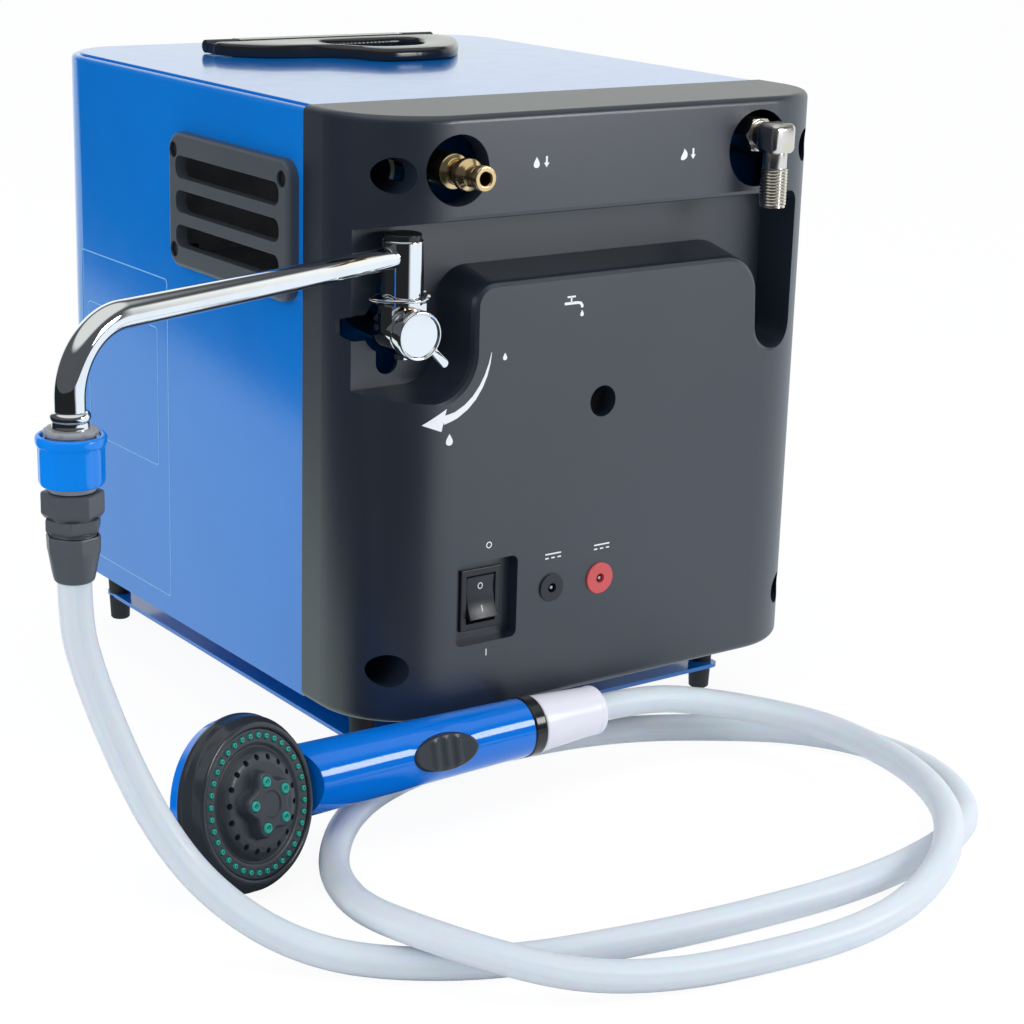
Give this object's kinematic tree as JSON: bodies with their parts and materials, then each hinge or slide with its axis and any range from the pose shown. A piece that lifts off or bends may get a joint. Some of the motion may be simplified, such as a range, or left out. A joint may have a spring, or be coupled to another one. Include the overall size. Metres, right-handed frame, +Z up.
{
  "type": "portable propane water heater",
  "caption": "Free-standing propane water heater in a sheet steel case with a moulded front, swivel spout tap, hose and hand shower.",
  "frame": {"origin": "on the floor, in the middle of the four feet", "axes": "+X to the right seen from the front, +Y to the back, +Z up; the front panel faces -Y, the gas inlet leg points down and the water inlet tail points to the front"},
  "size_m": [0.545, 0.6573, 0.3899],
  "materials": {
    "blue_paint": "gloss enamel",
    "black_panel": "fine satin moulding",
    "grille_grey": "satin moulding",
    "black_gloss": "polished moulding",
    "rubber": "matt rubber",
    "steel": "zinc plated",
    "chrome": "mirror plated",
    "brass": "turned brass",
    "plated": "yellow passivated plating",
    "copper": "drawn copper",
    "galvanised": "galvanised sheet",
    "blue_plastic": "glossy moulding",
    "grey_plastic": "satin moulding",
    "teal_rubber": "soft silicone",
    "red_plastic": "glossy moulding",
    "white_plastic": "smooth moulding",
    "hose_clear": "milky soft PVC",
    "sight_glass": "clear"
  },
  "bodies": {
    "root": {"case_wrap": "blue_paint", "top_cover": "blue_paint", "chassis_front": "blue_paint", "base_pan": "blue_paint", "base_plate": "blue_paint", "rubber_feet": "rubber", "foot_spacers": "rubber", "foot_bolts": "steel", "front_panel": "black_panel", "panel_screws": "steel", "flame_window": "sight_glass", "left_grille": "grille_grey", "right_grille": "grille_grey", "grille_screws": "steel", "combustion_chamber": "galvanised", "burner": "steel", "gas_manifold": "steel", "heat_exchanger": "copper", "flue_duct": "galvanised", "water_valve": "brass", "gas_valve": "steel", "ignition_module": "black_gloss", "cold_water_pipe": "copper", "gas_pipe": "copper", "hot_water_pipe": "copper", "exchanger_feed_pipe": "copper", "manifold_feed_pipe": "copper", "water_inlet_tail": "brass", "gas_inlet_elbow": "plated", "gas_nut": "plated", "tap_body": "chrome", "drain_screw": "chrome", "post_clip": "steel", "switch_bezel": "black_gloss", "dc_socket_black": "black_gloss", "dc_socket_red": "red_plastic", "socket_pins": "steel", "handle_rail": "black_gloss", "handle_pin": "steel", "handset_shell": "blue_plastic", "handset_end_ring": "black_gloss", "hose_coupling": "white_plastic", "shower_hose": "hose_clear"},
    "spout_arm": {"swivel_post": "chrome", "post_spigot": "brass", "post_cap": "black_gloss", "spout": "chrome", "spout_tip_ring": "chrome", "connector_insert": "grey_plastic", "hose_adapter": "chrome", "clamp_nut": "grey_plastic"},
    "release_collar": {"connector_collar": "blue_plastic"},
    "tap_knob": {"flow_knob": "chrome"},
    "switch_rocker": {"power_rocker": "black_gloss"},
    "lid_handle": {"carry_handle": "black_gloss"},
    "spray_face": {"spray_ring": "black_gloss", "nozzle_plate": "black_gloss", "outer_nozzles": "teal_rubber", "inner_nozzles": "teal_rubber"},
    "grip_button": {"handset_button": "black_gloss"}
  },
  "joints": [
    {"name": "handle_fold", "type": "hinge", "parent": "root", "child": "lid_handle", "pos_m": [0, 0.107, 0.3857], "axis": [-1, 0, 0], "range_deg": [0, 90]},
    {"name": "spout_swivel", "type": "hinge", "parent": "root", "child": "spout_arm", "pos_m": [-0.134, -0.2, 0.3], "axis": [0, 0, 1], "range_deg": [-18, 40]},
    {"name": "collar_release", "type": "slide", "parent": "spout_arm", "child": "release_collar", "axis": [0, 0, -1], "range_m": [0, 0.003], "stiffness_N_per_m": 400, "springref_m": -0.004},
    {"name": "flow_turn", "type": "hinge", "parent": "root", "child": "tap_knob", "pos_m": [-0.134, -0.2095, 0.268], "axis": [0, -1, 0], "range_deg": [-38, 28]},
    {"name": "power_switch", "type": "hinge", "parent": "root", "child": "switch_rocker", "pos_m": [-0.085, -0.2047, 0.112], "axis": [1, 0, 0], "range_deg": [0, 20]},
    {"name": "spray_turn", "type": "hinge", "parent": "root", "child": "spray_face", "pos_m": [-0.263, -0.25243, 0.04548], "axis": [0.3256, -0.9158, 0.2351], "range_deg": [-60, 60]},
    {"name": "button_press", "type": "slide", "parent": "root", "child": "grip_button", "axis": [0, 0.9686, -0.2487], "range_m": [0, 0.0015], "stiffness_N_per_m": 600, "springref_m": -0.002}
  ]
}
